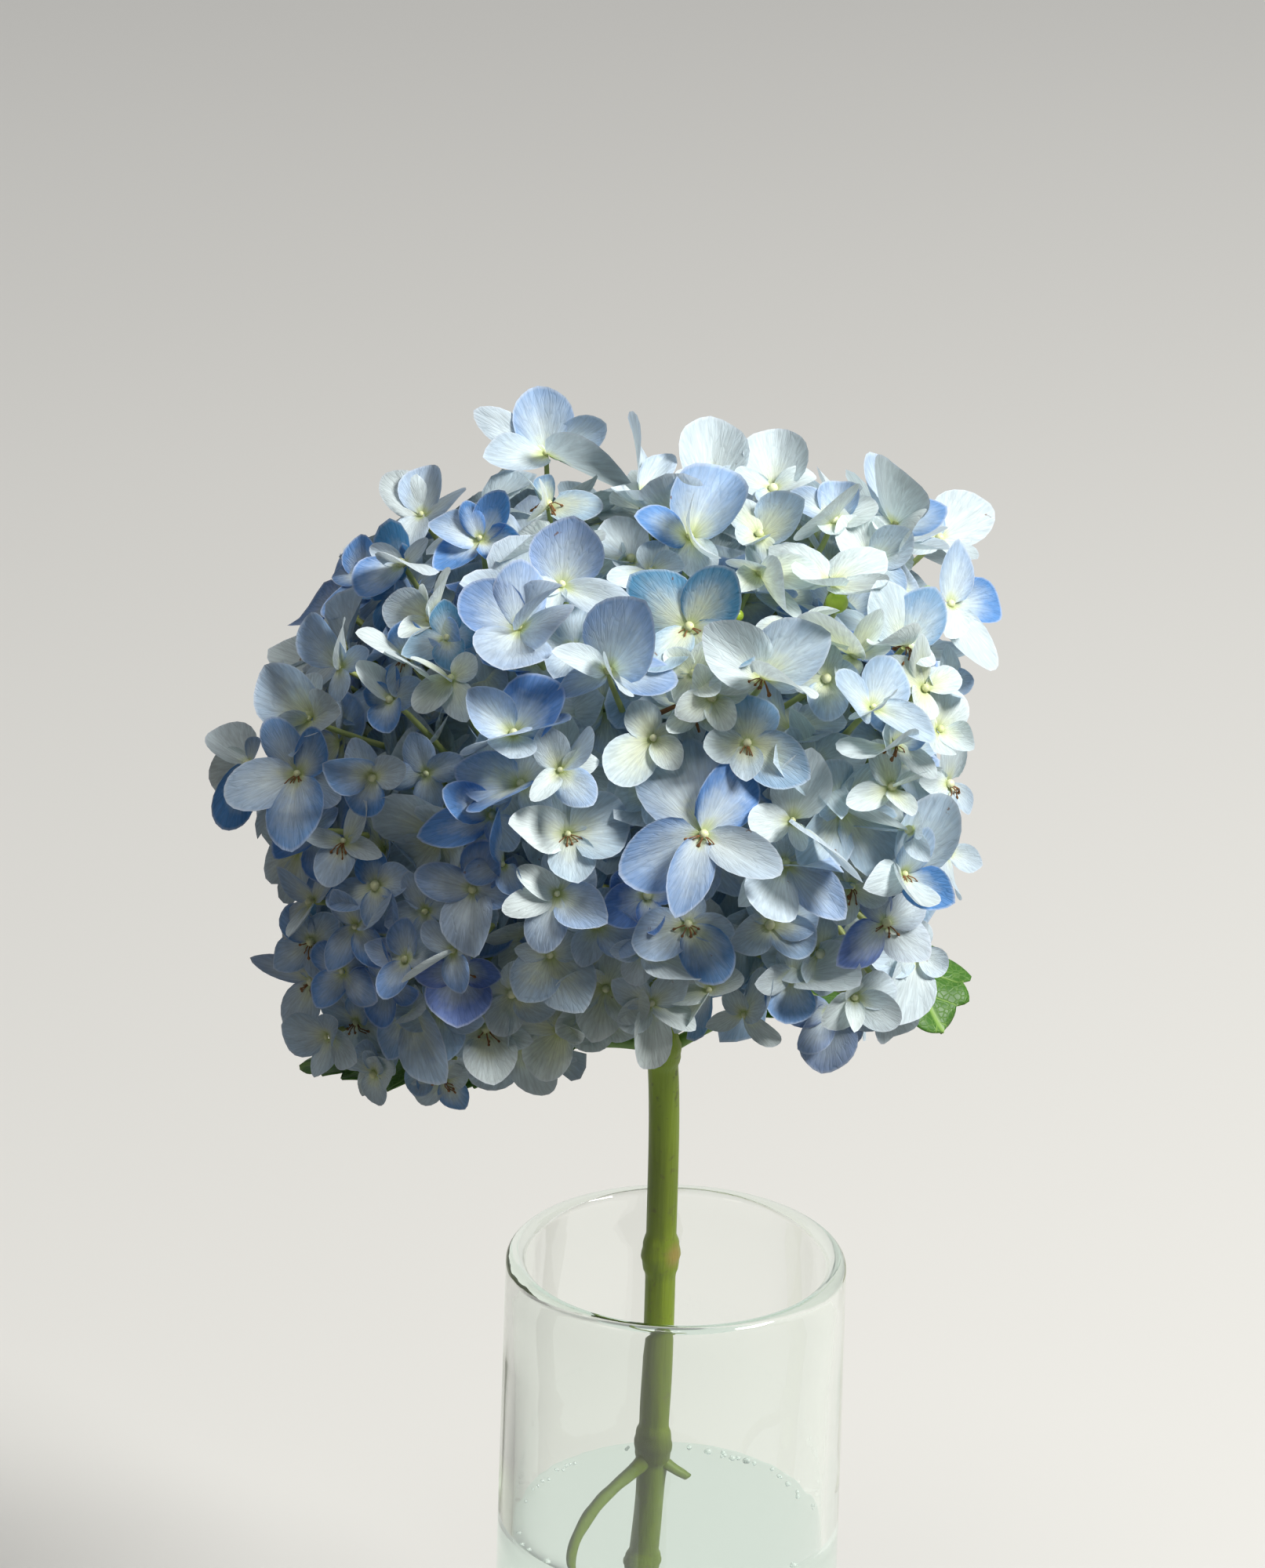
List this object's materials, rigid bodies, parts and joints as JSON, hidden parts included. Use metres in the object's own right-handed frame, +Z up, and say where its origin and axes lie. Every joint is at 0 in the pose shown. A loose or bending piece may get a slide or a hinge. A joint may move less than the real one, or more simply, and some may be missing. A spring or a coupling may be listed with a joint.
{
  "type": "hydrangea in a glass vase",
  "caption": "Cut blue hydrangea head on a green stem with two toothed leaves, standing in water in a straight clear glass cylinder vase.",
  "frame": {"origin": "middle of the vase's flat foot", "axes": "+Z up along the vase's axis; +Y away from the side that the flower is looked at from; +X to the right"},
  "size_m": [0.2074, 0.1977, 0.417],
  "materials": {
    "vase_glass": "clear, fire-polished",
    "water": "clear still water",
    "stem": "green woody stem, satin",
    "leaf_right": "fresh leaf, satin",
    "leaf_left": "fresh leaf, satin",
    "sepals": "thin, soft, veined sepals, matt"
  },
  "bodies": {
    "root": {"vase": "vase_glass", "water": "water", "stem": "stem", "leaf_right": "leaf_right", "leaf_left": "leaf_left", "flower_head": "sepals"}
  },
  "joints": []
}
